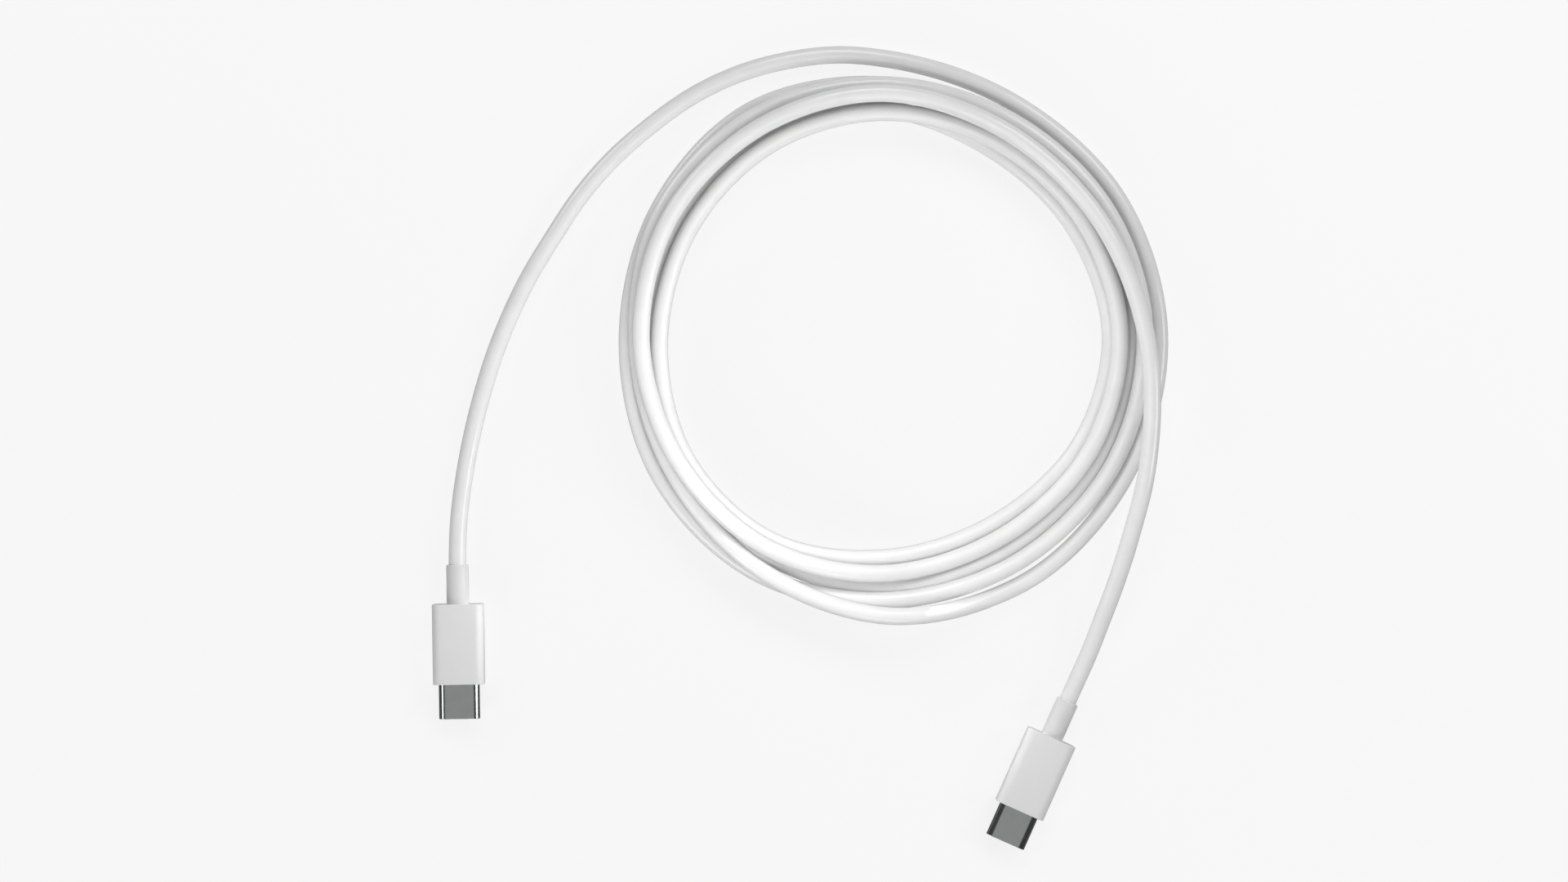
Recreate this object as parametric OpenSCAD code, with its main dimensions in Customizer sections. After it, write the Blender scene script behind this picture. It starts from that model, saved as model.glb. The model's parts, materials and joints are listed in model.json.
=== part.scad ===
// Charging cable with the same reversible plug on both ends, lying on a flat surface with its middle wound into
// a loose coil. Millimetres. The origin is the middle of plug A's underside, its nose points along -Y, +Z is up.

/* [Cable] */
// Outer diameter of the cable's jacket
cable_d = 3.5; // [3.2:0.1:3.7]
// Thickness of the jacket's wall
jacket_wall = 0.55; // [0.5:0.05:0.6]

/* [Plug housing] */
// Width of the housing
housing_w = 10.3; // [10.2:0.1:11.5]
// Length of the housing along the plug
housing_len = 16.1; // [16.1:0.1:17]
// Thickness of the housing
housing_t = 5.4; // [5.3:0.1:6]
// Radius of the housing's four long edges
housing_edge_r = 1.6; // [1.2:0.1:1.8]
// Width of the cavity inside the housing
cavity_w = 8.9; // [8.9:0.05:9]
// Height of the cavity inside the housing
cavity_t = 4.3; // [4.25:0.05:4.4]

/* [Strain relief] */
// Outer diameter of the strain relief
relief_d = 4.5; // [4.4:0.05:4.6]
// Length of the strain relief outside the housing
relief_len = 7.9; // [6:0.1:10]

/* [Metal nose] */
// Width of the drawn metal nose
nose_w = 8.25; // [8.2:0.01:8.3]
// Thickness of the drawn metal nose
nose_t = 2.4; // [2.38:0.01:2.42]
// Length of the nose outside the housing
nose_len = 7; // [6.6:0.1:7]
// Wall of the metal nose
nose_wall = 0.3; // [0.28:0.01:0.3]

/* [Contacts] */
// Contacts in each of the two rows
contact_count = 12; // [6:1:12]
// Pitch of the contacts
contact_pitch = 0.5; // [0.45:0.05:0.5]
// Width of one contact
contact_w = 0.25; // [0.2:0.01:0.25]

/* [Where the pieces lie] */
// Centre of plug B from left to right
plug_b_x = 115.8; // [115.5:0.1:116.5]
// Centre of plug B from front to back
plug_b_y = -27.9; // [-28.5:0.1:-27.5]
// Turn of plug B seen from above
plug_b_turn = -24.9; // [-25.5:0.1:-24]
// Centre of the coil from left to right
coil_x = 87; // [86.5:0.1:87.5]
// Centre of the coil from front to back
coil_y = 60.5; // [60:0.1:61]
// Inner radius of the coil
coil_r_in = 41.7; // [41:0.1:42.5]
// Outer radius of the coil
coil_r_out = 58.7; // [58:0.1:59]
// Height of the coil at its crown
coil_h = 11; // [9:0.5:12]

/* [Hidden] */
$fn = 48;
eps = 0.05;
gap = 0.02;

// heights and stations along a plug, measured from the housing's middle; the nose points to -Y
axis_z = housing_t / 2;
front_y = -housing_len / 2;
back_y = housing_len / 2;
tip_y = front_y - nose_len;
relief_end_y = back_y + relief_len;
cable_r = cable_d / 2;

front_wall = 1;
rear_wall = 1.4;
nose_rear_y = front_y + 3.5;

// contact carrier
carrier_w = nose_w - 2 * nose_wall - 2 * gap;
carrier_t = nose_t - 2 * nose_wall - 2 * gap;
carrier_front_y = tip_y + 0.15;
carrier_rear_y = front_y + 1.65;
cross_wall_y = [tip_y + 5.45, tip_y + 6.45];
tongue_slot = [6.9, 0.8];
spring_room = [6.1, 1.52];

// sprung pieces
contact_t = 0.12;
contact_tip_y = tip_y + 1.65;
contact_pivot_y = cross_wall_y[0] + 0.6;
contact_tail_y = contact_pivot_y + 1.1;
latch_x = [3.25, 3.42];
latch_h = 0.56;
latch_tip_y = tip_y + 1.15;
latch_tail_y = contact_pivot_y + 1.4;
ground_spring_w = 5;

// circuit card and the pieces behind it
card_t = 0.8;
card_front_y = contact_pivot_y + 0.8;
card_step_y = front_y + 1.85;
card_rear_y = 1.6;
can_wall = 0.2;
can_w = 8.7;
can_h = 3.7;
can_y = [front_y + 2.45, 2.6];
crimp_y = [3.2, 5.8];
mould_y = [2.8, 5.9];
wing_y = [5.95, 6.6];

// The lay of the cable outside the coil, point by point along its centre line, from plug A to the coil
TAIL_A = [
    [0, relief_end_y, axis_z], [0.1, 19.3, 2.7], [0.3, 23.3, 2.3], [0.7, 27.3, 1.9], [1.4, 32.3, 1.75],
    [3, 40.8, 1.75], [5, 48.7, 1.75], [7.7, 57.2, 1.75], [10.9, 65.1, 1.75], [15.1, 73.5, 1.75], [20.3, 81.8, 1.75],
    [25.8, 89.8, 1.75], [32.4, 97.2, 1.75], [39.9, 103.6, 1.75], [49.1, 109.9, 1.75], [58.6, 114.2, 1.75],
    [68.6, 116.7, 1.75], [78.6, 117.6, 1.75]
];
// and from the coil to plug B, whose last two points stand in line with that plug
TAIL_B = [
    [139.7, 45.6, 9.4], [139.1, 37.6, 9.3], [137.8, 29.7, 8.5], [136, 22.9, 7], [134, 15.9, 5.2], [131.7, 8.9, 3.6],
    [129.3, 2.4, 2.4], [126.8, -4.1, 2], plug_b_point(relief_end_y + 3.5), plug_b_point(relief_end_y)
];
tube_sides = 8;

ENDS = ["plug_a", "plug_b"];
PLUG_PIECES = [
    "housing", "strain_relief", "nose_shell", "contact_carrier", "upper_contacts", "lower_contacts", "latch_left",
    "latch_right", "upper_ground_spring", "lower_ground_spring", "circuit_card", "card_capacitors", "power_wire",
    "ground_wire", "data_wires", "control_wire", "crimp_ferrule", "braid_end", "cable_end", "inner_mould",
    "shield_top", "shield_bottom"
];

function plug_b_point(along) = [
    plug_b_x - along * sin(plug_b_turn),
    plug_b_y + along * cos(plug_b_turn),
    axis_z
];

// ---- helpers ----

// a flat profile in X and Z, carried along a plug from y0 to y1 on its axis
module along_y(y0, y1) {
    translate([0, y1, axis_z])
        rotate([90, 0, 0])
            linear_extrude(y1 - y0)
                children();
}

// a rectangle with round corners
module rounded_slab(w, h, r) {
    square([w - 2 * r, h], center = true);
    square([w, h - 2 * r], center = true);
    for (sx = [-1, 1], sz = [-1, 1])
        translate([sx * (w / 2 - r), sz * (h / 2 - r)])
            circle(r);
}

// a slab whose two ends are half rounds
module stadium(w, h) {
    square([w - h, h], center = true);
    for (sx = [-1, 1])
        translate([sx * (w - h) / 2, 0])
            circle(h / 2);
}

// a round bar or bore on a plug's axis
module round_y(y0, y1, r) {
    translate([0, y1, axis_z])
        rotate([90, 0, 0])
            cylinder(h = y1 - y0, r = r);
}

// an outline drawn in Y and Z, made w wide across the plug and centred on x
module across_x(x, w) {
    translate([x - w / 2, 0, axis_z])
        rotate([90, 0, 90])
            linear_extrude(w)
                children();
}

// flips the upper piece of a pair into the lower one
module lower() {
    translate([0, 0, 2 * axis_z])
        mirror([0, 0, 1])
            children();
}

// flips the left piece of a pair into the right one
module right() {
    mirror([1, 0, 0])
        children();
}

// an insulated wire along its points, given from the plug's axis
module wire(points, r) {
    translate([0, 0, axis_z])
        tube(points, r, tube_sides);
}

// ---- outside of a plug ----

module housing() {
    color("white")
        difference() {
            along_y(front_y, back_y)
                rounded_slab(housing_w, housing_t, housing_edge_r);
            along_y(front_y + front_wall, back_y - rear_wall)
                rounded_slab(cavity_w, cavity_t, 0.3);
            along_y(front_y - eps, front_y + front_wall + eps)
                stadium(nose_w + 2 * gap, nose_t + 2 * gap);
            round_y(back_y - rear_wall - eps, back_y + eps, relief_d / 2 + gap);
        }
}

module strain_relief() {
    color("gainsboro")
        difference() {
            union() {
                round_y(wing_y[0], relief_end_y, relief_d / 2 - 0.05);
                round_y(back_y - rear_wall, relief_end_y - 0.35, relief_d / 2);
                along_y(wing_y[0], wing_y[1])
                    rounded_slab(6.4, cavity_t - 2 * gap, 1);
            }
            round_y(wing_y[0] - eps, relief_end_y + eps, cable_r + 0.01);
        }
}

module nose_shell() {
    color("silver")
        difference() {
            along_y(tip_y, nose_rear_y)
                stadium(nose_w, nose_t);
            along_y(tip_y - eps, nose_rear_y + eps)
                stadium(nose_w - 2 * nose_wall, nose_t - 2 * nose_wall);
        }
}

// ---- mating parts inside the nose ----

module contact_carrier() {
    color("dimgray")
        difference() {
            along_y(carrier_front_y, carrier_rear_y)
                stadium(carrier_w, carrier_t);
            // slot for the tongue of the socket
            along_y(carrier_front_y - eps, cross_wall_y[0])
                square(tongue_slot, center = true);
            // rooms for the ground springs and the contacts
            along_y(carrier_front_y + 0.1, contact_tip_y)
                square([5.6, 1.6], center = true);
            along_y(contact_tip_y - 0.2, cross_wall_y[0])
                square(spring_room, center = true);
            // passages for the two contact rows
            for (side = [-1, 1])
                along_y(cross_wall_y[0] - eps, cross_wall_y[1] + eps)
                    translate([0, side * 0.54])
                        square([5.9, 0.26], center = true);
            // seat of the circuit card
            along_y(cross_wall_y[1], carrier_rear_y + eps)
                square(spring_room, center = true);
            // rooms and passages for the two latch arms
            for (side = [-1, 1]) {
                along_y(latch_tip_y - 0.15, cross_wall_y[0])
                    translate([side * 3.55, 0])
                        square([0.8, 0.66], center = true);
                along_y(cross_wall_y[0] - eps, carrier_rear_y + eps)
                    translate([side * 3.36, 0])
                        square([0.42, 0.66], center = true);
            }
        }
}

// one row of sprung contacts, above the tongue of the socket
module upper_contacts() {
    color("gold")
        for (i = [0 : contact_count - 1])
            across_x((i - (contact_count - 1) / 2) * contact_pitch, contact_w)
                polygon([
                    [contact_tail_y, 0.48], [contact_tail_y, 0.48 + contact_t],
                    [contact_pivot_y, 0.48 + contact_t], [contact_tip_y + 0.8, 0.41],
                    [contact_tip_y + 0.45, 0.37], [contact_tip_y, 0.5], [contact_tip_y, 0.38],
                    [contact_tip_y + 0.4, 0.25], [contact_tip_y + 0.85, 0.28], [contact_pivot_y, 0.48]
                ]);
}

// sprung arm whose hook clicks into the side of the socket's tongue
module latch_left() {
    color("silver")
        translate([0, 0, axis_z - latch_h / 2])
            linear_extrude(latch_h)
                polygon([
                    [-latch_x[0], latch_tail_y], [-latch_x[1], latch_tail_y], [-latch_x[1], latch_tip_y],
                    [-latch_x[0], latch_tip_y], [-3.05, latch_tip_y + 0.55], [-3.05, latch_tip_y + 0.8],
                    [-latch_x[0], latch_tip_y + 1.1]
                ]);
}

// strip with three sprung fingers that touch the socket's ground plate
module upper_ground_spring() {
    strip_y = carrier_front_y + 0.2;
    color("silver")
        union() {
            across_x(0, ground_spring_w)
                polygon([[strip_y, 0.6], [strip_y + 0.35, 0.6], [strip_y + 0.35, 0.7], [strip_y, 0.7]]);
            for (x = [-1.9, 0, 1.9])
                across_x(x, 0.9)
                    polygon([
                        [strip_y + 0.2, 0.6], [strip_y + 0.2, 0.7], [strip_y + 0.4, 0.7],
                        [strip_y + 0.85, 0.53], [strip_y + 1, 0.6], [strip_y + 1, 0.5],
                        [strip_y + 0.85, 0.43], [strip_y + 0.35, 0.6]
                    ]);
        }
}

// ---- circuit card ----

module circuit_card() {
    color("darkgreen")
        translate([0, 0, axis_z - card_t / 2])
            linear_extrude(card_t)
                polygon([
                    [-2.8, card_front_y], [2.8, card_front_y], [2.8, card_step_y], [3.6, card_step_y],
                    [3.6, card_rear_y], [-3.6, card_rear_y], [-3.6, card_step_y], [-2.8, card_step_y]
                ]);
}

module marker_chip() {
    color("black")
        translate([-1, -3.2, axis_z + card_t / 2])
            cube([2, 2, 0.55]);
}

module card_capacitors() {
    color("tan")
        for (place = [[-2.6, -3.2], [2.6, -3.2], [2.6, -1.6]])
            translate([place[0] - 0.25, place[1], axis_z + card_t / 2])
                cube([0.5, 1, 0.5]);
}

// ---- wires, crimp and mould behind the card ----

module power_wire() {
    color("red")
        wire([[-0.55, 5, 0.35], [-0.55, 3, 0.35], [-1.9, 1.9, 0.84], [-1.9, 0.2, 0.84]], 0.42);
}

module ground_wire() {
    color("black")
        wire([[0.55, 5, 0.35], [0.55, 3, 0.35], [1.9, 1.9, 0.84], [1.9, 0.2, 0.84]], 0.42);
}

module data_wires() {
    color("green")
        for (sx = [-1, 1])
            wire([[sx * 0.34, 5, -0.57], [sx * 0.34, 3, -0.57], [sx * 0.9, 1.9, -0.7], [sx * 0.9, 0.4, -0.7]], 0.28);
}

module control_wire() {
    color("blue")
        wire([[0, 5, -0.1], [0, 3, -0.1], [0, 1.9, 0.64], [0, 0.6, 0.64]], 0.21);
}

module cable_end() {
    color("whitesmoke")
        difference() {
            round_y(crimp_y[0], relief_end_y, cable_r);
            round_y(crimp_y[0] - eps, crimp_y[0] + 2, cable_r - jacket_wall);
        }
}

module braid_end() {
    color("silver")
        difference() {
            round_y(crimp_y[0], wing_y[0] - eps, cable_r + 0.09);
            round_y(crimp_y[0] - eps, wing_y[0], cable_r + 0.01);
        }
}

module crimp_ferrule() {
    color("goldenrod")
        difference() {
            round_y(crimp_y[0], crimp_y[1], cable_r + 0.18);
            round_y(crimp_y[0] - eps, crimp_y[1] + eps, cable_r + 0.1);
        }
}

module inner_mould() {
    color("lightgray")
        difference() {
            along_y(mould_y[0], mould_y[1])
                rounded_slab(can_w, cavity_t - 2 * gap, 0.3);
            round_y(mould_y[0] - eps, mould_y[1] + eps, cable_r + 0.2);
        }
}

module shield_top() {
    color("lightsteelblue")
        difference() {
            along_y(can_y[0], can_y[1])
                rounded_slab(can_w, can_h, 0.4);
            along_y(can_y[0] - eps, can_y[1] + eps)
                rounded_slab(can_w - 2 * can_wall, can_h - 2 * can_wall, 0.2);
            translate([-can_w, can_y[0] - eps, axis_z + gap - can_h])
                cube([2 * can_w, can_y[1] - can_y[0] + 2 * eps, can_h]);
        }
}

// ---- the cable ----

function unit(v) = v / norm(v);
function along_at(points, i) = unit(points[min(i + 1, len(points) - 1)] - points[max(i - 1, 0)]);
function ring_at(points, i, r, sides) =
    let (along = along_at(points, i), side = unit(cross(along, [0, 0, 1])), up = cross(side, along))
    [for (k = [0 : sides - 1]) points[i] + r * (cos(k * 360 / sides) * side + sin(k * 360 / sides) * up)];

// a tube of flat-sided rings, one at each point of its route
module tube(points, r, sides) {
    last = len(points) - 1;
    polyhedron(
        points = [for (i = [0 : last]) each ring_at(points, i, r, sides)],
        faces = concat(
            [[for (k = [0 : sides - 1]) k]],
            [for (i = [0 : last - 1], k = [0 : sides - 1])
                let (a = i * sides + k, b = i * sides + (k + 1) % sides)
                [a, a + sides, b + sides, b]],
            [[for (k = [sides - 1 : -1 : 0]) last * sides + k]]
        )
    );
}

module cord_tail_a() {
    color("white")
        tube(TAIL_A, cable_r, tube_sides);
}

module cord_tail_b() {
    color("white")
        tube(TAIL_B, cable_r, tube_sides);
}

// the outer shape of the wound turns
module cord_coil() {
    wide = coil_r_out - coil_r_in;
    color("white")
        translate([coil_x, coil_y, 0])
            rotate_extrude($fn = 96)
                translate([coil_r_in, 0])
                    polygon([
                        [0, 0], [wide, 0], [wide, 0.55 * coil_h], [0.65 * wide, coil_h], [0.35 * wide, coil_h],
                        [0, 0.45 * coil_h]
                    ]);
}

// ---- placing ----

module at_end(end) {
    if (end == "plug_a")
        children();
    else
        translate([plug_b_x, plug_b_y, 0])
            rotate([0, 0, plug_b_turn])
                children();
}

for (end = ENDS) at_end(end) {
    housing();
    strain_relief();
    nose_shell();
    contact_carrier();
    upper_contacts();
    lower() upper_contacts();
    latch_left();
    right() latch_left();
    upper_ground_spring();
    lower() upper_ground_spring();
    circuit_card();
    card_capacitors();
    power_wire();
    ground_wire();
    data_wires();
    control_wire();
    crimp_ferrule();
    braid_end();
    cable_end();
    inner_mould();
    shield_top();
    lower() shield_top();
}
marker_chip();  // plug_a_marker_chip
cord_tail_a();
cord_coil();
cord_tail_b();
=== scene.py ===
"""The looks of the charging cable: its jacket, housings, strain reliefs and metal noses as finished meshes,
a procedural material on every piece, and a plain white studio seen from straight above. Metres throughout."""

import json
import math

import bpy
import numpy as np
from mathutils import Matrix, Vector


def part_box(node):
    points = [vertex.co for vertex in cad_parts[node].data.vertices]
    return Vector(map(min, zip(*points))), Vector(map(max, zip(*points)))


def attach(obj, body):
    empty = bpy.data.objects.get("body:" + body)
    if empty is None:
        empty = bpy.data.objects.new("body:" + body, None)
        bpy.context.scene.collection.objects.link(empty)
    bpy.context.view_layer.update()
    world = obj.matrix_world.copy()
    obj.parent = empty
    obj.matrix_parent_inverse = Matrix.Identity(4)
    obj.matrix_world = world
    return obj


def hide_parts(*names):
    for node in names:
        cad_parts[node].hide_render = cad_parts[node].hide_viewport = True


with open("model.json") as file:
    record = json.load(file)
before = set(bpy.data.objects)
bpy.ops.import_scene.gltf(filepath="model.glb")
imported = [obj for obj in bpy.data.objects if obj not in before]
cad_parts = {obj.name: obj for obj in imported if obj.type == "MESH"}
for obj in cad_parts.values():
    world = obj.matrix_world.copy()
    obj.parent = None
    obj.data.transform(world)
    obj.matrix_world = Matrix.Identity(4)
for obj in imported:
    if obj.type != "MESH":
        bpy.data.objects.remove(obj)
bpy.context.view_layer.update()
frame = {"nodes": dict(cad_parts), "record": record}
RECORD = frame["record"]
PLUGS = ("plug_a", "plug_b")
MM = 0.001


# ---- camera, straight above the middle of the object ----

CAMERA_PLACE = (0.0662, 0.03985, 0.6)
CAMERA_ROLL = math.radians(-0.9)
CAMERA_LENS = 68.06
SENSOR_WIDTH = 36
CLIP_START = 0.01


def make_camera():
    data = bpy.data.cameras.new("camera")
    data.sensor_width = SENSOR_WIDTH
    data.lens = CAMERA_LENS
    data.clip_start = CLIP_START
    camera = bpy.data.objects.new("camera", data)
    camera.location = CAMERA_PLACE
    camera.rotation_euler = (0, 0, CAMERA_ROLL)
    bpy.context.scene.collection.objects.link(camera)
    bpy.context.scene.camera = camera


make_camera()


# ---- where the plugs lie ----


def mount(name):
    return next(m for m in RECORD["mounts"] if m["name"] == name)


def plug_matrix(end):
    """Takes a point from a plug's own frame, with its nose along -Y, to where that plug lies."""
    rest = Vector(mount(f"{end}_rest")["pos_m"])
    back = -Vector(mount(f"{end}_nose")["axis"]).normalized()
    up = Vector((0, 0, 1))
    turn = Matrix((back.cross(up), back, up)).transposed()
    return Matrix.Translation(rest) @ turn.to_4x4()


PLACES = {end: plug_matrix(end) for end in PLUGS}
AXIS_Z = mount("plug_a_nose")["pos_m"][2]
RELIEF_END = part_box("plug_a_strain_relief")[1].y


# ---- the cable ----

CABLE_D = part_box("plug_a_cable_end")[1].x * 2
ON_FLOOR = CABLE_D / 2
COIL_LOW, COIL_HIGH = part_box("cord_coil")
COIL_CENTRE = (COIL_LOW + COIL_HIGH) / 2

# the centre line from plug A to the coil
TAIL_A = [
    (0, RELIEF_END, AXIS_Z), (0.0001, 0.0193, 0.0027), (0.0003, 0.0233, 0.0023), (0.0007, 0.0273, 0.0019),
    (0.0014, 0.0323, ON_FLOOR), (0.003, 0.0408, ON_FLOOR), (0.005, 0.0487, ON_FLOOR),
    (0.0077, 0.0572, ON_FLOOR), (0.0109, 0.0651, ON_FLOOR), (0.0151, 0.0735, ON_FLOOR),
    (0.0203, 0.0818, ON_FLOOR), (0.0258, 0.0898, ON_FLOOR), (0.0324, 0.0972, ON_FLOOR),
    (0.0399, 0.1036, ON_FLOOR), (0.0491, 0.1099, ON_FLOOR), (0.0586, 0.1142, ON_FLOOR),
    (0.0686, 0.1167, ON_FLOOR), (0.0786, 0.1176, ON_FLOOR),
]
# and from the coil to plug B, whose last two points stand in line with that plug
TAIL_B = [
    (0.1397, 0.0456, 0.0094), (0.1391, 0.0376, 0.0093), (0.1378, 0.0297, 0.0085), (0.136, 0.0229, 0.007),
    (0.134, 0.0159, 0.0052), (0.1317, 0.0089, 0.0036), (0.1293, 0.0024, 0.0024), (0.1268, -0.0041, 0.002),
    tuple(PLACES["plug_b"] @ Vector((0, RELIEF_END + 0.0035, AXIS_Z))),
    tuple(PLACES["plug_b"] @ Vector((0, RELIEF_END, AXIS_Z))),
]

# Each turn is wound clockwise from the right, with a station every 30 degrees: the radius of its centre line
# in millimetres, and its layer there. Where two stretches cross or touch, the one in the higher layer lies on
# top. The lead-in starts at the far side, where tail A ends.
STATION = 30
TOP_LAYER = 4
LEAD_IN = ([56.3, 53.9, 54.6], [0] * 3)
TURNS = [
    ([55.3, 55.9, 56.9, 56, 53, 50.5, 50, 51.5, 51.5, 50.5, 50, 51], [0] * 3 + [2] * 9),
    ([52, 52.5, 52.5, 53, 54.2, 53.5, 52.1, 52.5, 53.2, 50.9, 49.4, 50], [1] * 4 + [0] * 8),
    ([49.5, 49.5, 49.5, 50.5, 50, 48, 47.5, 47.5, 47, 46, 43.5, 44], [0] * 12),
    ([45.4, 44.8, 43.5, 44.5, 47, 47, 45.5, 45, 45, 45, 45, 46], [0] * 4 + [1] * 8),
    ([47, 47, 46.5, 47.5, 48.5, 48.5, 49, 49.3, 48.8, 48.5, 47.4, 48.3], [2] * 4 + [3] * 8),
    ([51.7], [TOP_LAYER]),
]

# how many points the curve has between two knots, and the spacing of the cable's own rings
SPAN_POINTS = 12
STEP = 0.001
# how many rings to each side a hump is widened and smoothed over, how many rounds work the heights out
# at most, and the change in metres under which they have settled
HUMP_STEPS = 11
HUMP_ROUNDS = 60
SETTLED = 1e-6
# stretches nearer than this along the cable aren't laid over each other
CROSSING_RUN = 3 * CABLE_D
TINY = 1e-9


def route_knots():
    """The knots of the whole route, as x, y, resting height and layer."""
    knots = [(*point, 0) for point in TAIL_A]
    for start, turns in ((90, [LEAD_IN]), (0, TURNS)):
        for radii, layers in turns:
            for i, (radius, layer) in enumerate(zip(radii, layers)):
                angle = math.radians(start - STATION * i)
                x = COIL_CENTRE.x + radius * MM * math.cos(angle)
                y = COIL_CENTRE.y + radius * MM * math.sin(angle)
                knots.append((x, y, ON_FLOOR, layer))
    knots += [(*point, TOP_LAYER) for point in TAIL_B]
    return np.array(knots)


def smooth_line(knots):
    """A smooth curve through the knots in plan, with the place of each of its points along the knots."""
    chord = np.linalg.norm(np.diff(knots, axis=0), axis=1)[:, None]
    slope = np.diff(knots, axis=0) / chord
    inner = (chord[:-1] * slope[1:] + chord[1:] * slope[:-1]) / (chord[:-1] + chord[1:])
    tangent = np.vstack([slope[:1], inner, slope[-1:]])
    along = np.arange((len(knots) - 1) * SPAN_POINTS + 1) / SPAN_POINTS
    span = np.minimum(along.astype(int), len(knots) - 2)
    t = (along - span)[:, None]
    from_last = (1 + 2 * t) * (1 - t) ** 2 * knots[span] + t * (1 - t) ** 2 * chord[span] * tangent[span]
    to_next = t**2 * (3 - 2 * t) * knots[span + 1] + t**2 * (t - 1) * chord[span] * tangent[span + 1]
    return from_last + to_next, along


def smoothed(values, reach):
    """The values raised to the highest near them, then averaged, so that a rise becomes a long low hump."""
    window = 2 * reach + 1
    padded = np.pad(values, reach, mode="edge")
    wide = np.lib.stride_tricks.sliding_window_view(padded, window).max(axis=1)
    kernel = np.hanning(window + 2)[1:-1]
    return np.convolve(np.pad(wide, reach, mode="edge"), kernel / kernel.sum(), "valid")


def laid_route():
    """The cable's centre line as it lies: on the floor, and over whatever of itself is in a lower layer."""
    knots = route_knots()
    line, along = smooth_line(knots[:, :2])
    run = np.concatenate([[0], np.cumsum(np.linalg.norm(np.diff(line, axis=0), axis=1))])
    spots = np.linspace(0, run[-1], round(run[-1] / STEP) + 1)
    x, y, along = (np.interp(spots, run, v) for v in (line[:, 0], line[:, 1], along))
    places = np.arange(len(knots))
    rest = np.interp(along, places, knots[:, 2])
    layer = np.interp(along, places, knots[:, 3])

    apart = np.hypot(x[:, None] - x[None], y[:, None] - y[None])
    order = np.arange(len(spots))
    other = np.abs(order[:, None] - order[None]) > CROSSING_RUN / STEP
    above, below = np.where((apart < CABLE_D) & other & (layer[:, None] > layer[None] + TINY))
    rise = np.sqrt(CABLE_D**2 - apart[above, below] ** 2)
    height = rest
    for _ in range(HUMP_ROUNDS):
        needed = rest.copy()
        np.maximum.at(needed, above, height[below] + rise)
        new = np.maximum(smoothed(needed, HUMP_STEPS), rest)
        if np.abs(new - height).max() < SETTLED:
            break
        height = new
    return np.stack([x, y, height], axis=1)


# ---- mesh building ----


SHARP_EDGE = math.radians(35)


def finished_mesh(name, points, faces, material):
    """A smooth-shaded object whose sharp edges stay crisp."""
    mesh = bpy.data.meshes.new(name)
    mesh.from_pydata([tuple(p) for p in points], [], faces)
    mesh.validate()
    mesh.polygons.foreach_set("use_smooth", [True] * len(mesh.polygons))
    mesh.set_sharp_from_angle(angle=SHARP_EDGE)
    mesh.materials.append(material)
    piece = bpy.data.objects.new(name, mesh)
    bpy.context.scene.collection.objects.link(piece)
    return piece


def loft_faces(rings, sides, closed):
    """Quads between rings of points, each ring against the next, and round to the first if closed."""
    pairs = range(rings if closed else rings - 1)
    return [
        (a * sides + k, b * sides + k, b * sides + (k + 1) % sides, a * sides + (k + 1) % sides)
        for a, b in ((i, (i + 1) % rings) for i in pairs)
        for k in range(sides)
    ]


# how many points an outline has on a quarter: up the side, round the corner and along the top
SIDE_STEPS, CORNER_STEPS, TOP_STEPS = 3, 9, 8
SMALLEST_RADIUS = 1e-6
# how many steps round a rounded outer edge
EDGE_STEPS = 4


def quarter(width, height, radius, stretch):
    """From the middle of the right side round to the middle of the top, in X and Z."""
    centre_x, centre_z = width / 2 - radius * stretch, height / 2 - radius
    side_steps, corner_steps, top_steps = SIDE_STEPS, CORNER_STEPS, TOP_STEPS
    if centre_z < TINY:
        side_steps, corner_steps = 0, corner_steps + side_steps
    if centre_x < TINY:
        top_steps, corner_steps = 0, corner_steps + top_steps
    points = [(width / 2, centre_z * i / side_steps) for i in range(side_steps)]
    for i in range(corner_steps + 1):
        angle = math.pi / 2 * i / corner_steps
        points.append((centre_x + radius * stretch * math.cos(angle), centre_z + radius * math.sin(angle)))
    points += [(centre_x * (1 - i / top_steps), height / 2) for i in range(1, top_steps + 1)]
    return points


def outline(size, y):
    """A ring round a plug's axis at y. Its size is a width, a height and a corner radius, and how many times
    wider than high the corner is: a rectangle with round corners, a slab with round sides, or a circle."""
    width, height, radius, stretch = size
    radius = max(min(radius, width / 2, height / 2), SMALLEST_RADIUS)
    part = quarter(width, height, radius, stretch)
    ring = part[:-1]
    ring += [(-x, z) for x, z in part[:0:-1]]
    ring += [(-x, -z) for x, z in part[:-1]]
    ring += [(x, -z) for x, z in part[:0:-1]]
    return [Vector((x, y, AXIS_Z + z)) for x, z in ring]


def inset(size, by):
    """The same outline, smaller all round by that much."""
    width, height, radius, stretch = size
    return width - 2 * by, height - 2 * by, radius - by, stretch


def circle(diameter):
    return diameter, diameter, diameter / 2, 1


def round_edge(size, y, into, fillet):
    """Rings round an outer edge at y, from the end face to the side. into is 1 where the body goes on along
    +Y from there, and -1 where it goes on along -Y."""
    rings = []
    for i in range(EDGE_STEPS + 1):
        angle = math.pi / 2 * i / EDGE_STEPS
        ring_size = inset(size, fillet * (1 - math.sin(angle)))
        rings.append(outline(ring_size, y + into * fillet * (1 - math.cos(angle))))
    return rings


def lofted_piece(name, end, rings, material, node):
    """A closed piece of a plug, in place of the CAD node that it hides."""
    place = PLACES[end]
    points = [place @ p for ring in rings for p in ring]
    piece = finished_mesh(name, points, loft_faces(len(rings), len(rings[0]), True), material)
    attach(piece, "root")
    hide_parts(node)
    return piece


# ---- materials ----


def add_node(tree, kind, **inputs):
    made = tree.nodes.new(kind)
    for name, value in inputs.items():
        made.inputs[name.replace("_", " ")].default_value = value
    return made


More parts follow.
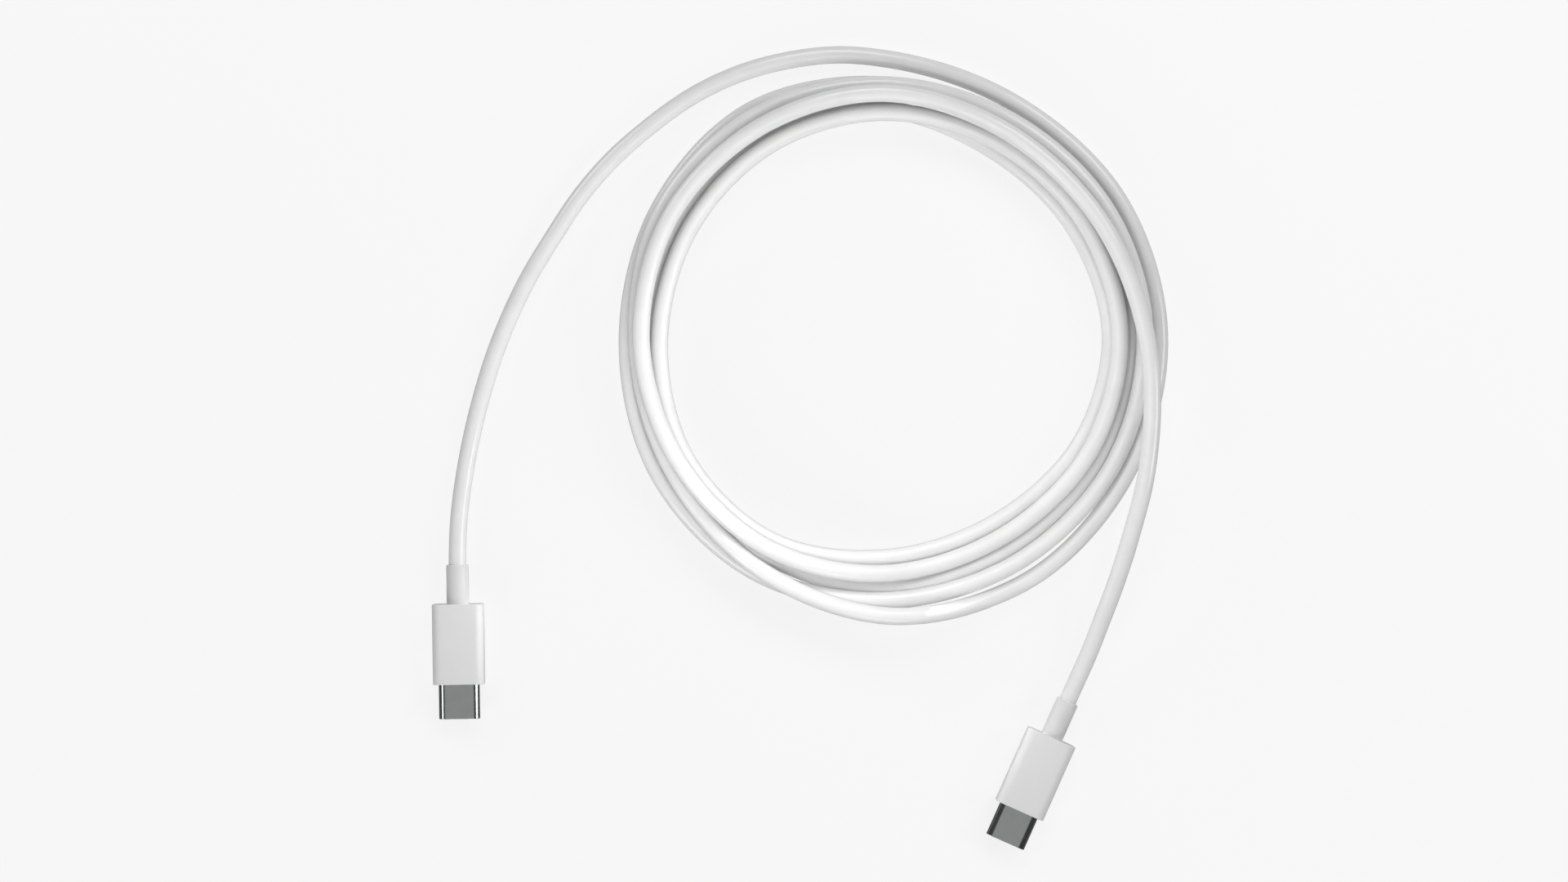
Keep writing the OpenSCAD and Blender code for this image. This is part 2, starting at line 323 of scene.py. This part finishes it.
def link(tree, source, target):
    tree.links.new(source, target)


def ramp(tree, source, low, high):
    """Turns a noise into a range of colours."""
    made = tree.nodes.new("ShaderNodeValToRGB")
    made.color_ramp.elements[0].position = 0.3
    made.color_ramp.elements[0].color = (*low, 1)
    made.color_ramp.elements[1].position = 0.7
    made.color_ramp.elements[1].color = (*high, 1)
    link(tree, source, made.inputs["Fac"])
    return made.outputs["Color"]


def spread(tree, source, low, high):
    """Turns a noise into a range of numbers."""
    made = tree.nodes.new("ShaderNodeMapRange")
    made.inputs["From Min"].default_value = 0.3
    made.inputs["From Max"].default_value = 0.7
    made.inputs["To Min"].default_value = low
    made.inputs["To Max"].default_value = high
    link(tree, source, made.inputs["Value"])
    return made.outputs["Result"]


def noise(tree, grain):
    """Noise whose features are about grain metres across."""
    place = tree.nodes.new("ShaderNodeTexCoord")
    scale = tree.nodes.new("ShaderNodeMapping")
    scale.inputs["Scale"].default_value = [1 / grain] * 3
    link(tree, place.outputs["Object"], scale.inputs["Vector"])
    made = add_node(tree, "ShaderNodeTexNoise", Scale=1.0, Detail=3.0, Roughness=0.55)
    link(tree, scale.outputs["Vector"], made.inputs["Vector"])
    return made.outputs["Fac"]


def material(name, metallic, colours, rough, patch, grain, depth):
    """A finish with patches of two near colours and of smoother and rougher surface, over a raised grain."""
    made = bpy.data.materials.new(name)
    made.use_nodes = True
    tree = made.node_tree
    principled = tree.nodes["Principled BSDF"]
    principled.inputs["Metallic"].default_value = metallic
    principled.inputs["IOR"].default_value = 1.5
    patches = noise(tree, patch * MM)
    link(tree, ramp(tree, patches, *colours), principled.inputs["Base Color"])
    link(tree, spread(tree, patches, *rough), principled.inputs["Roughness"])
    bump = add_node(tree, "ShaderNodeBump", Strength=1.0, Distance=depth * MM)
    link(tree, noise(tree, grain * MM), bump.inputs["Height"])
    link(tree, bump.outputs["Normal"], principled.inputs["Normal"])
    return made


def grey(value, warm=0):
    return (value + warm, value, value - warm)


# Each finish has two near colours and a range of roughness, and in millimetres how wide its patches are, how
# wide its grain is and how deep its grain goes.
PLASTICS = {
    "cable_jacket": ((grey(0.735), grey(0.76)), (0.2, 0.24), 4, 0.12, 0.0005),
    "housing_plastic": ((grey(0.665), grey(0.675)), (0.34, 0.38), 5, 0.2, 0.001),
    "relief_plastic": ((grey(0.63), grey(0.645)), (0.36, 0.44), 3, 0.12, 0.003),
    "carrier_plastic": ((grey(0.02), grey(0.035)), (0.4, 0.55), 1, 0.06, 0.002),
    "card_green": (((0.01, 0.09, 0.03), (0.02, 0.14, 0.05)), (0.25, 0.4), 0.7, 0.1, 0.003),
    "capacitor_tan": (((0.42, 0.3, 0.18), (0.52, 0.38, 0.24)), (0.4, 0.6), 0.3, 0.05, 0.002),
    "chip_black": ((grey(0.012), grey(0.025)), (0.45, 0.6), 0.6, 0.04, 0.002),
    "wire_red": (((0.5, 0.015, 0.01), (0.62, 0.03, 0.02)), (0.35, 0.5), 0.8, 0.08, 0.002),
    "wire_black": ((grey(0.015), grey(0.03)), (0.35, 0.5), 0.8, 0.08, 0.002),
    "wire_green": (((0.02, 0.3, 0.05), (0.04, 0.4, 0.09)), (0.35, 0.5), 0.8, 0.08, 0.002),
    "wire_blue": (((0.01, 0.06, 0.4), (0.02, 0.1, 0.52)), (0.35, 0.5), 0.8, 0.08, 0.002),
    "mould_plastic": ((grey(0.6, 0.01), grey(0.7, 0.01)), (0.45, 0.6), 2, 0.15, 0.004),
}
METALS = {
    "nose_steel": (((0.55, 0.57, 0.56), (0.6, 0.62, 0.61)), (0.14, 0.2), 2, 0.08, 0.0006),
    "contact_gold": (((0.9, 0.62, 0.25), (0.98, 0.72, 0.34)), (0.15, 0.28), 0.5, 0.04, 0.0005),
    "spring_steel": ((grey(0.5), grey(0.62)), (0.2, 0.34), 0.8, 0.05, 0.0006),
    "ferrule_brass": (((0.72, 0.5, 0.2), (0.82, 0.6, 0.28)), (0.25, 0.4), 1, 0.06, 0.001),
    "braid_copper": (((0.75, 0.55, 0.45), (0.85, 0.68, 0.58)), (0.3, 0.45), 0.6, 0.1, 0.02),
    "shield_steel": ((grey(0.55), grey(0.66)), (0.22, 0.36), 1.5, 0.07, 0.001),
}
MATERIALS = {
    name: material(name, metallic, *finish)
    for metallic, finishes in ((0, PLASTICS), (1, METALS))
    for name, finish in finishes.items()
}


# ---- the cable's mesh ----

CABLE_SIDES = 24


def make_cable():
    """One round jacket from the end of plug A's strain relief to the end of plug B's."""
    line = laid_route()
    ahead = np.gradient(line, axis=0)
    ahead /= np.linalg.norm(ahead, axis=1)[:, None]
    across = np.cross(ahead, (0, 0, 1))
    across /= np.linalg.norm(across, axis=1)[:, None]
    over = np.cross(across, ahead)
    turn = 2 * math.pi * np.arange(CABLE_SIDES) / CABLE_SIDES
    rings = (
        line[:, None]
        + CABLE_D / 2 * np.cos(turn)[None, :, None] * across[:, None]
        + CABLE_D / 2 * np.sin(turn)[None, :, None] * over[:, None]
    )
    faces = loft_faces(len(line), CABLE_SIDES, False)
    last = (len(line) - 1) * CABLE_SIDES
    faces += [tuple(range(CABLE_SIDES)), tuple(last + k for k in range(CABLE_SIDES))[::-1]]
    cable = finished_mesh("cable_jacket", rings.reshape(-1, 3), faces, MATERIALS["cable_jacket"])
    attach(cable, "root")
    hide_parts("cord_tail_a", "cord_coil", "cord_tail_b")


# ---- the outside of a plug ----

FILLET = 0.1 * MM
GAP = 0.02 * MM
# the housing's walls, and the hollow inside it
WALL_FRONT = 1 * MM
WALL_REAR = 1.4 * MM
CAVITY = (8.9 * MM, 4.3 * MM, 0.3 * MM, 1)
# the strain relief's wing, which is held in the housing, and the neck behind it
WING_DEPTH = 0.65 * MM
WING_RADIUS = 1 * MM
NECK_WALL = 0.5 * MM
NECK_CHAMFER = (0.05 * MM, 0.1 * MM)
NECK_ROUND = 0.3 * MM
# the metal nose
NOSE_WALL = 0.3 * MM
LIP = 0.06 * MM


def size_of(node, radius, stretch=1):
    low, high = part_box(node)
    return high.x - low.x, high.z - low.z, radius, stretch


# outlines: width, height, corner radius, and how many times wider than high the corner is
HOUSING = size_of("plug_a_housing", 1.6 * MM)
NOSE = size_of("plug_a_nose_shell", 1.2 * MM, 1.25)
NECK = circle(CABLE_D + 2 * NECK_WALL)


def make_housing(end):
    low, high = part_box("plug_a_housing")
    mouth, hole = inset(NOSE, -GAP), inset(NECK, -GAP)
    rings = round_edge(HOUSING, low.y, 1, FILLET)
    rings.append(outline(HOUSING, low.y + 3 * FILLET))
    rings.append(outline(HOUSING, high.y - 3 * FILLET))
    rings += round_edge(HOUSING, high.y, -1, FILLET)[::-1]
    rings.append(outline(inset(HOUSING, 3 * FILLET), high.y))
    rings.append(outline(hole, high.y))
    rings.append(outline(hole, high.y - WALL_REAR))
    rings.append(outline(CAVITY, high.y - WALL_REAR))
    rings.append(outline(CAVITY, low.y + WALL_FRONT))
    rings.append(outline(mouth, low.y + WALL_FRONT))
    rings.append(outline(mouth, low.y))
    rings.append(outline(inset(HOUSING, 3 * FILLET), low.y))
    piece = lofted_piece(f"{end}_housing_shell", end, rings, MATERIALS["housing_plastic"], f"{end}_housing")


def make_strain_relief(end):
    low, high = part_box("plug_a_strain_relief")
    bore = circle(CABLE_D + GAP)
    wing_end = low.y + WING_DEPTH
    wing = size_of("plug_a_strain_relief", WING_RADIUS)
    rings = [outline(bore, low.y), outline(wing, low.y), outline(wing, wing_end)]
    rings += [outline(inset(NECK, NECK_CHAMFER[0]), wing_end), outline(NECK, wing_end + NECK_CHAMFER[1])]
    rings.append(outline(NECK, high.y - 2 * NECK_ROUND))
    rings += round_edge(NECK, high.y, -1, NECK_ROUND)[::-1]
    rings.append(outline(bore, high.y))
    plastic = MATERIALS["relief_plastic"]
    piece = lofted_piece(f"{end}_relief_sleeve", end, rings, plastic, f"{end}_strain_relief")


def make_nose(end):
    low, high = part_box("plug_a_nose_shell")
    inner = inset(NOSE, NOSE_WALL)
    rings = round_edge(NOSE, low.y, 1, LIP)
    rings.append(outline(NOSE, low.y + 3 * LIP))
    rings.append(outline(NOSE, high.y))
    rings.append(outline(inner, high.y))
    rings.append(outline(inner, low.y + 2 * LIP))
    rings.append(outline(inset(inner, -LIP), low.y + 0.5 * LIP))
    rings.append(outline(inset(inner, -2 * LIP), low.y))
    piece = lofted_piece(f"{end}_nose_tube", end, rings, MATERIALS["nose_steel"], f"{end}_nose_shell")


# ---- finishes of the CAD pieces that stay ----

FINISHES = {
    "contact_carrier": "carrier_plastic", "upper_contacts": "contact_gold", "lower_contacts": "contact_gold",
    "latch_left": "spring_steel", "latch_right": "spring_steel", "upper_ground_spring": "spring_steel",
    "lower_ground_spring": "spring_steel", "circuit_card": "card_green", "card_capacitors": "capacitor_tan",
    "marker_chip": "chip_black", "power_wire": "wire_red", "ground_wire": "wire_black",
    "data_wires": "wire_green", "control_wire": "wire_blue", "crimp_ferrule": "ferrule_brass",
    "braid_end": "braid_copper", "cable_end": "cable_jacket", "inner_mould": "mould_plastic",
    "shield_top": "shield_steel", "shield_bottom": "shield_steel",
}


def finish_cad_nodes():
    for name, node in frame["nodes"].items():
        piece = name.split("_", 2)[2] if name.startswith("plug_") else ""
        if piece in FINISHES:
            node.data.materials.clear()
            node.data.materials.append(MATERIALS[FINISHES[piece]])


# ---- studio ----


# how far the floor goes out from under the camera, and how much light it reflects and gives
FLOOR_REACH = 1.5
FLOOR_REFLECTED = 0.16
FLOOR_GLOW = 0.82


def make_floor():
    """A white floor that mostly glows, and takes a little of the softboxes' light."""
    corners = ((-1, -1), (1, -1), (1, 1), (-1, 1))
    points = [(CAMERA_PLACE[0] + x * FLOOR_REACH, CAMERA_PLACE[1] + y * FLOOR_REACH, 0) for x, y in corners]
    white = bpy.data.materials.new("studio_floor")
    white.use_nodes = True
    principled = white.node_tree.nodes["Principled BSDF"]
    principled.inputs["Base Color"].default_value = (*grey(FLOOR_REFLECTED), 1)
    principled.inputs["Specular IOR Level"].default_value = 0
    principled.inputs["Emission Color"].default_value = (*grey(FLOOR_GLOW), 1)
    principled.inputs["Emission Strength"].default_value = 1
    floor = finished_mesh("studio_floor", points, [(0, 1, 2, 3)], white)
    floor.visible_glossy = False
    return floor


def make_lamp(name, place, size, power, target):
    data = bpy.data.lights.new(name, "AREA")
    data.shape = "RECTANGLE"
    data.size, data.size_y = size
    data.energy = power
    lamp = bpy.data.objects.new(name, data)
    lamp.location = place
    lamp.rotation_mode = "QUATERNION"
    lamp.rotation_quaternion = (Vector(target) - Vector(place)).to_track_quat("-Z", "Y")
    bpy.context.scene.collection.objects.link(lamp)
    return lamp


# how far the softboxes and strips stand from the middle of the view
LAMP_DISTANCE = 0.8
# softboxes of one power round the table: azimuth and height above the horizon in degrees
SOFTBOXES = [(0, 30), (45, 40), (90, 40), (135, 15), (225, 25), (270, 25)]
SOFTBOX_SIZE = (0.3, 0.3)
SOFTBOX_POWER = 1.4
# tall strips that only show as lines of light in metal
STRIPS = [(189, 37), (350, 33)]
STRIP_SIZE = (0.16, 0.25)
STRIP_POWER = 0.27
# small lamps close above the table: place from the coil's centre in metres, width in metres, power in watts,
# and whether they glint
SMALL_LAMPS = [
    ((0, 0, 0.07), 0.05, 0.015, True), ((-0.035, -0.03, 0.07), 0.05, 0.02, False),
    ((-0.015, -0.065, 0.14), 0.05, 0.04, False),
]
# a lamp that lights the wall of each plug on the coil's side: place in the plug's frame in metres, with the
# first number's sign changed for plug B, and power in watts
WALL_LAMP = (0.03, 0.024, 0.012)
WALL_LAMP_POWER = 0.00042
WALL_LAMP_SIZE = (0.01, 0.01)
WALL_LAMP_SPREAD = math.radians(50)


def make_lamps(floor):
    """Every lamp. Of these only the softboxes light the floor."""
    middle = Vector((*CAMERA_PLACE[:2], 0))
    off_floor = bpy.data.collections.new("off_floor")
    off_floor.objects.link(floor)
    off_floor.collection_objects[0].light_linking.link_state = "EXCLUDE"

    def round_the_table(azimuth, height):
        a, h = math.radians(azimuth), math.radians(height)
        out = Vector((math.cos(h) * math.cos(a), math.cos(h) * math.sin(a), math.sin(h)))
        return middle + LAMP_DISTANCE * out

    for azimuth, height in SOFTBOXES:
        make_lamp(f"softbox_{azimuth}", round_the_table(azimuth, height), SOFTBOX_SIZE, SOFTBOX_POWER, middle)
    for azimuth, height in STRIPS:
        place = round_the_table(azimuth, height)
        strip = make_lamp(f"strip_{azimuth}", place, STRIP_SIZE, STRIP_POWER, middle)
        strip.visible_diffuse = False
        strip.light_linking.receiver_collection = off_floor
    for i, (offset, width, power, glints) in enumerate(SMALL_LAMPS):
        place = Vector((COIL_CENTRE.x, COIL_CENTRE.y, 0)) + Vector(offset)
        lamp = make_lamp(f"small_lamp_{i}", place, (width, width), power, (place.x, place.y, 0))
        lamp.visible_glossy = glints
        lamp.light_linking.receiver_collection = off_floor
    for end, side in zip(PLUGS, (1, -1)):
        place = PLACES[end] @ Vector((side * WALL_LAMP[0], *WALL_LAMP[1:]))
        target = PLACES[end] @ Vector((0, 0, AXIS_Z))
        lamp = make_lamp(f"{end}_wall_lamp", place, WALL_LAMP_SIZE, WALL_LAMP_POWER, target)
        lamp.data.spread = WALL_LAMP_SPREAD
        lamp.visible_glossy = False
        lamp.light_linking.receiver_collection = off_floor


# light from the room: height above the horizon in degrees, and strength
SKY = [(0, 0.12), (2, 0.05), (66, 0.05), (74, 0.4)]


def make_world():
    world = bpy.data.worlds.new("studio")
    bpy.context.scene.world = world
    world.use_nodes = True
    tree = world.node_tree
    background = tree.nodes["Background"]
    background.inputs["Strength"].default_value = 1
    direction = tree.nodes.new("ShaderNodeTexCoord")
    split = tree.nodes.new("ShaderNodeSeparateXYZ")
    sky = tree.nodes.new("ShaderNodeValToRGB")
    link(tree, direction.outputs["Generated"], split.inputs["Vector"])
    link(tree, split.outputs["Z"], sky.inputs["Fac"])
    link(tree, sky.outputs["Color"], background.inputs["Color"])
    stops = sky.color_ramp.elements
    for i, (height, light) in enumerate(SKY):
        stop = stops[i] if i < 2 else stops.new(1)
        stop.position = math.sin(math.radians(height))
        stop.color = (light, light, light, 1)


for end in PLUGS:
    make_housing(end)
    make_strain_relief(end)
    make_nose(end)
make_cable()
finish_cad_nodes()
make_lamps(make_floor())
make_world()
bpy.context.scene.view_settings.view_transform = "Standard"
